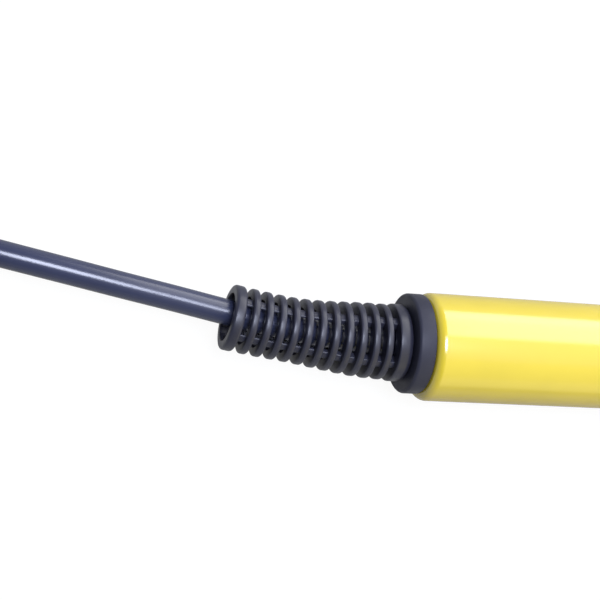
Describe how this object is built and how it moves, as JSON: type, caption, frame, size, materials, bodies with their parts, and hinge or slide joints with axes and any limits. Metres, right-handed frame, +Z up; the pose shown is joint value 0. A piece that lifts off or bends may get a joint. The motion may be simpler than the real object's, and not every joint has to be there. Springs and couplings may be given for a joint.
{
  "type": "pinpointer probe",
  "caption": "Corded handheld pinpointer probe: glossy round housing, coil nose, push button, black gland collar, ribbed strain-relief boot and a hanked lead with a screw plug.",
  "frame": {"origin": "on the surface the probe lies on, under the middle of the probe's length and width, the lead and what is on it left out", "axes": "+X along the probe towards its tip, +Z up from the surface"},
  "size_m": [0.4921, 0.0684, 0.0339],
  "materials": {
    "yellow_housing": "glossy bright yellow",
    "black_collar": "satin near-black moulded plastic",
    "boot_rubber": "satin near-black moulded rubber",
    "cable_jacket": "smooth slate-black jacket with a soft sheen",
    "seal_rubber": "matt black",
    "nickel": "nickel plated",
    "steel": "bright zinc plated",
    "tie_strap": "woven hook-and-loop strap",
    "chassis_plastic": "matt grey",
    "circuit_board": "green solder mask",
    "chip_black": "matt black",
    "blue_plastic": "satin blue",
    "white_plastic": "satin off-white",
    "button_rubber": "satin red silicone",
    "led_epoxy": "clear red epoxy",
    "clear_lens": "clear",
    "nose_plastic": "satin black nylon",
    "ferrite": "matt dark grey",
    "copper": "enamelled copper",
    "shield_foil": "conductive foil",
    "wire_red": "red insulation",
    "gold": "gold plated"
  },
  "bodies": {
    "root": {"housing_tube": "yellow_housing", "rear_collar": "black_collar", "collar_seal": "seal_rubber", "gland_locknut": "nickel", "cable_boot": "boot_rubber", "cable": "cable_jacket", "cable_hank": "cable_jacket", "cable_tail": "cable_jacket", "hank_tie": "tie_strap", "chassis": "chassis_plastic", "cable_clamp": "chassis_plastic", "clamp_screw_1": "steel", "clamp_screw_2": "steel", "circuit_board": "circuit_board", "detector_chip": "chip_black", "amplifier_chip": "chip_black", "capacitor_1": "blue_plastic", "capacitor_2": "blue_plastic", "trimmer_body": "blue_plastic", "tactile_switch": "chip_black", "button_bezel": "nose_plastic", "button_spring": "steel", "led": "led_epoxy", "led_lens": "clear_lens", "vibration_motor": "nickel", "nose_shell": "nose_plastic", "nose_seal": "seal_rubber", "tip_cap": "nose_plastic", "nose_screw_1": "steel", "nose_screw_2": "steel", "nose_screw_3": "steel", "coil_former": "white_plastic", "ferrite_rod": "ferrite", "receive_coil_rear": "copper", "transmit_coil": "copper", "receive_coil_front": "copper", "shield_sleeve": "shield_foil", "power_wire": "wire_red", "signal_wire": "white_plastic", "ground_wire": "seal_rubber", "coil_lead_1": "copper", "coil_lead_2": "copper", "plug_relief": "boot_rubber", "plug_backnut": "nickel", "plug_shell": "nickel", "plug_insert": "chip_black", "contact_1": "gold", "contact_2": "gold", "contact_3": "gold", "contact_4": "gold", "contact_5": "gold"},
    "button": {"push_button": "button_rubber", "switch_plunger": "white_plastic"},
    "trimmer": {"trimmer_rotor": "white_plastic"},
    "motor_rotor": {"motor_weight": "steel"},
    "plug_ring": {"coupling_ring": "nickel"}
  },
  "joints": [
    {"name": "button_press", "type": "slide", "parent": "root", "child": "button", "axis": [0, 0, -1], "range_m": [0, 0.0012], "stiffness_N_per_m": 400, "springref_m": -0.001, "deforming": ["button_spring"]},
    {"name": "coupling_ring_turn", "type": "hinge", "parent": "root", "child": "plug_ring", "pos_m": [-0.2753, -0.0051, 0.0093], "axis": [1, 0, 0], "continuous": true},
    {"name": "motor_spin", "type": "hinge", "parent": "root", "child": "motor_rotor", "pos_m": [-0.03555, -0.0052, 0.0174], "axis": [1, 0, 0], "continuous": true},
    {"name": "trimmer_turn", "type": "hinge", "parent": "root", "child": "trimmer", "pos_m": [-0.03955, 0.005, 0.0174], "axis": [0, 0, 1], "range_deg": [-135, 135]}
  ]
}
